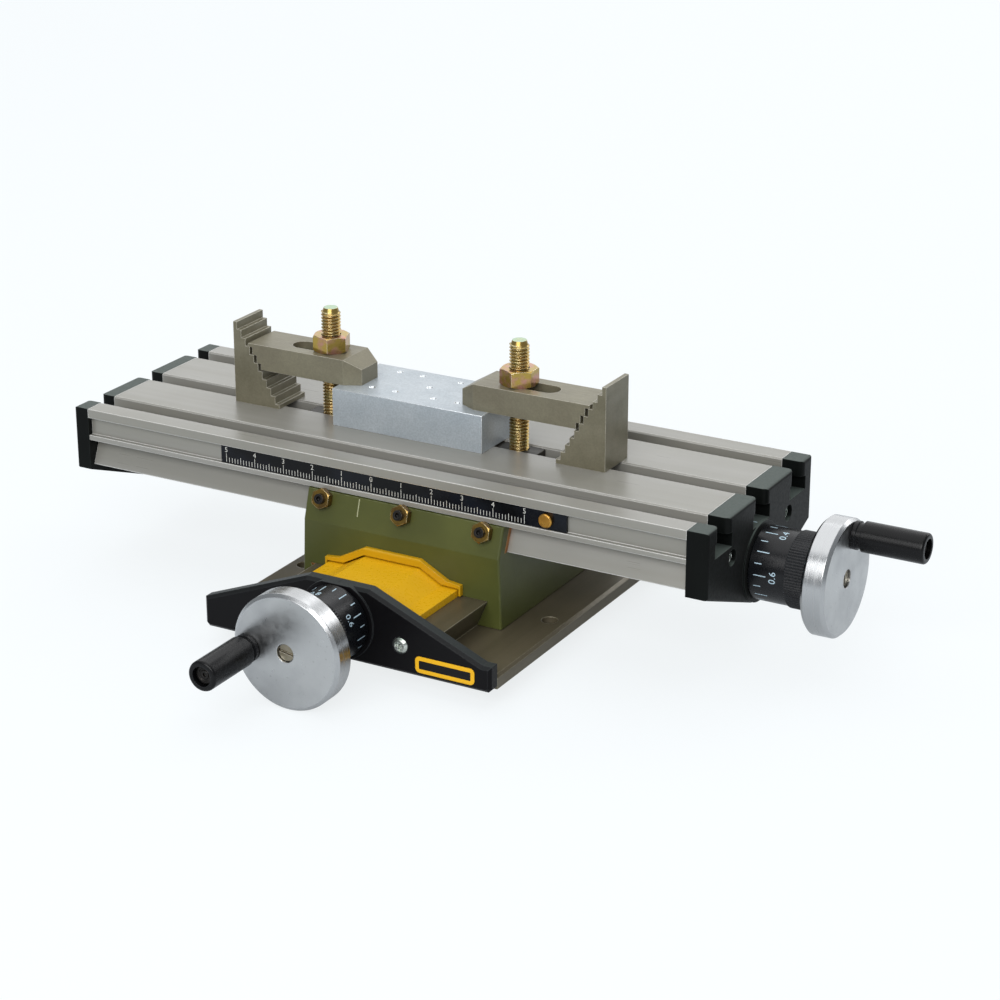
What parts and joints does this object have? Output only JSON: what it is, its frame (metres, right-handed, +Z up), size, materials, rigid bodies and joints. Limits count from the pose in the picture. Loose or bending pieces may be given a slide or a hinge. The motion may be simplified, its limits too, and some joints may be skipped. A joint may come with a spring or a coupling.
{
  "type": "cross slide table",
  "caption": "Small cross slide table: T-slotted table on a saddle and dovetail base, moved both ways by handwheels with graduated rings, with step clamps holding a workpiece.",
  "frame": {"origin": "centre of the base's underside", "axes": "+X along the table towards its handwheel, +Y away from the cross slide's handwheel, +Z up, out of the table's top"},
  "size_m": [0.2592, 0.1775, 0.0821],
  "materials": {
    "anodised_table": "satin anodised extrusion",
    "anodised_base": "olive anodised extrusion",
    "saddle_paint": "olive hammer paint on cast iron",
    "black_paint": "black semi-gloss paint",
    "yellow_paint": "yellow gloss paint",
    "turned_aluminium": "turned and polished",
    "zinc_screw": "bright zinc",
    "black_oxide": "black oxide on steel",
    "yellow_zinc": "yellow passivated zinc",
    "spindle_steel": "ground bright",
    "brass_trim": "machined",
    "bronze": "bearing bronze",
    "ring_black": "black anodised with white marks",
    "handle_plastic": "turned black plastic",
    "clamp_steel": "phosphated steel",
    "work_aluminium": "milled",
    "strip_black": "black anodised with white figures"
  },
  "bodies": {
    "base": {"base": "anodised_base", "front_bracket": "black_paint", "bracket_screws": "zinc_screw", "spindle_cover": "yellow_paint", "cross_bush": "bronze"},
    "saddle": {"saddle": "saddle_paint", "tunnel_frame": "yellow_paint", "table_gib": "brass_trim", "cross_gib": "brass_trim", "table_gib_screws": "black_oxide", "cross_gib_screws": "black_oxide", "table_gib_nuts": "yellow_zinc", "cross_gib_nuts": "yellow_zinc", "long_spindle_nut": "bronze", "cross_spindle_nut": "bronze", "cross_nut_screw": "zinc_screw"},
    "table": {"table": "anodised_table", "left_end_cap": "black_paint", "right_end_cap": "black_paint", "cap_screws": "zinc_screw", "long_bushes": "bronze", "workpiece": "work_aluminium"},
    "scale": {"scale_strip": "strip_black", "scale_screw": "brass_trim"},
    "long_spindle": {"long_spindle": "spindle_steel", "long_handwheel": "turned_aluminium", "long_wheel_screw": "zinc_screw", "long_handle_pin": "black_oxide"},
    "long_ring": {"long_scale_ring": "ring_black"},
    "long_handle": {"long_handle": "handle_plastic"},
    "cross_spindle": {"cross_spindle": "spindle_steel", "cross_handwheel": "turned_aluminium", "cross_wheel_screw": "zinc_screw", "cross_handle_pin": "black_oxide"},
    "cross_ring": {"cross_scale_ring": "ring_black"},
    "cross_handle": {"cross_handle": "handle_plastic"},
    "left_clamp": {"left_t_nut": "clamp_steel", "left_stud": "yellow_zinc", "left_step_block": "clamp_steel"},
    "left_arm": {"left_clamp_arm": "clamp_steel"},
    "left_nut": {"left_clamp_nut": "yellow_zinc"},
    "right_clamp": {"right_t_nut": "clamp_steel", "right_stud": "yellow_zinc", "right_step_block": "clamp_steel"},
    "right_arm": {"right_clamp_arm": "clamp_steel"},
    "right_nut": {"right_clamp_nut": "yellow_zinc"}
  },
  "joints": [
    {"name": "cross_wheel_turn", "type": "hinge", "parent": "base", "child": "cross_spindle", "pos_m": [-0.00185, -0.0668, 0.0118], "axis": [0, -1, 0], "range_deg": [-8965, 7597]},
    {"name": "cross_slide", "type": "slide", "parent": "base", "child": "saddle", "axis": [0, 1, 0], "range_m": [-0.0249, 0.0211]},
    {"name": "cross_ring_turn", "type": "hinge", "parent": "cross_spindle", "child": "cross_ring", "pos_m": [-0.00185, -0.0668, 0.0118], "axis": [0, -1, 0], "continuous": true},
    {"name": "cross_handle_turn", "type": "hinge", "parent": "cross_spindle", "child": "cross_handle", "pos_m": [-0.01421, -0.095, 0.01081], "axis": [0, -1, 0], "continuous": true},
    {"name": "long_slide", "type": "slide", "parent": "saddle", "child": "table", "axis": [1, 0, 0], "range_m": [-0.0549, 0.0781]},
    {"name": "long_wheel_turn", "type": "hinge", "parent": "table", "child": "long_spindle", "pos_m": [0.0949, 0.0018, 0.0241], "axis": [1, 0, 0], "range_deg": [-19765, 28117]},
    {"name": "long_ring_turn", "type": "hinge", "parent": "long_spindle", "child": "long_ring", "pos_m": [0.0949, 0.0018, 0.0241], "axis": [1, 0, 0], "continuous": true},
    {"name": "long_handle_turn", "type": "hinge", "parent": "long_spindle", "child": "long_handle", "pos_m": [0.123, 0.00578, 0.03585], "axis": [1, 0, 0], "continuous": true},
    {"name": "scale_slide", "type": "slide", "parent": "table", "child": "scale", "axis": [1, 0, 0], "range_m": [-0.045, 0.034]},
    {"name": "left_clamp_slide", "type": "slide", "parent": "table", "child": "left_clamp", "axis": [1, 0, 0], "range_m": [-0.03, 0.003]},
    {"name": "left_arm_slide", "type": "slide", "parent": "left_clamp", "child": "left_arm", "axis": [1, 0, 0], "range_m": [0, 0.008]},
    {"name": "left_nut_turn", "type": "hinge", "parent": "left_clamp", "child": "left_nut", "pos_m": [-0.0462, 0.0018, 0.0636], "axis": [0, 0, 1], "continuous": true},
    {"name": "right_clamp_slide", "type": "slide", "parent": "table", "child": "right_clamp", "axis": [1, 0, 0], "range_m": [-0.003, 0.03]},
    {"name": "right_arm_slide", "type": "slide", "parent": "right_clamp", "child": "right_arm", "axis": [1, 0, 0], "range_m": [-0.008, 0]},
    {"name": "right_nut_turn", "type": "hinge", "parent": "right_clamp", "child": "right_nut", "pos_m": [0.0178, 0.0018, 0.0636], "axis": [0, 0, 1], "continuous": true}
  ],
  "couplings": [
    {"joint": "cross_wheel_turn", "follows": "cross_slide", "rad_per_m": 6283.2},
    {"joint": "long_wheel_turn", "follows": "long_slide", "rad_per_m": 6283.2}
  ]
}
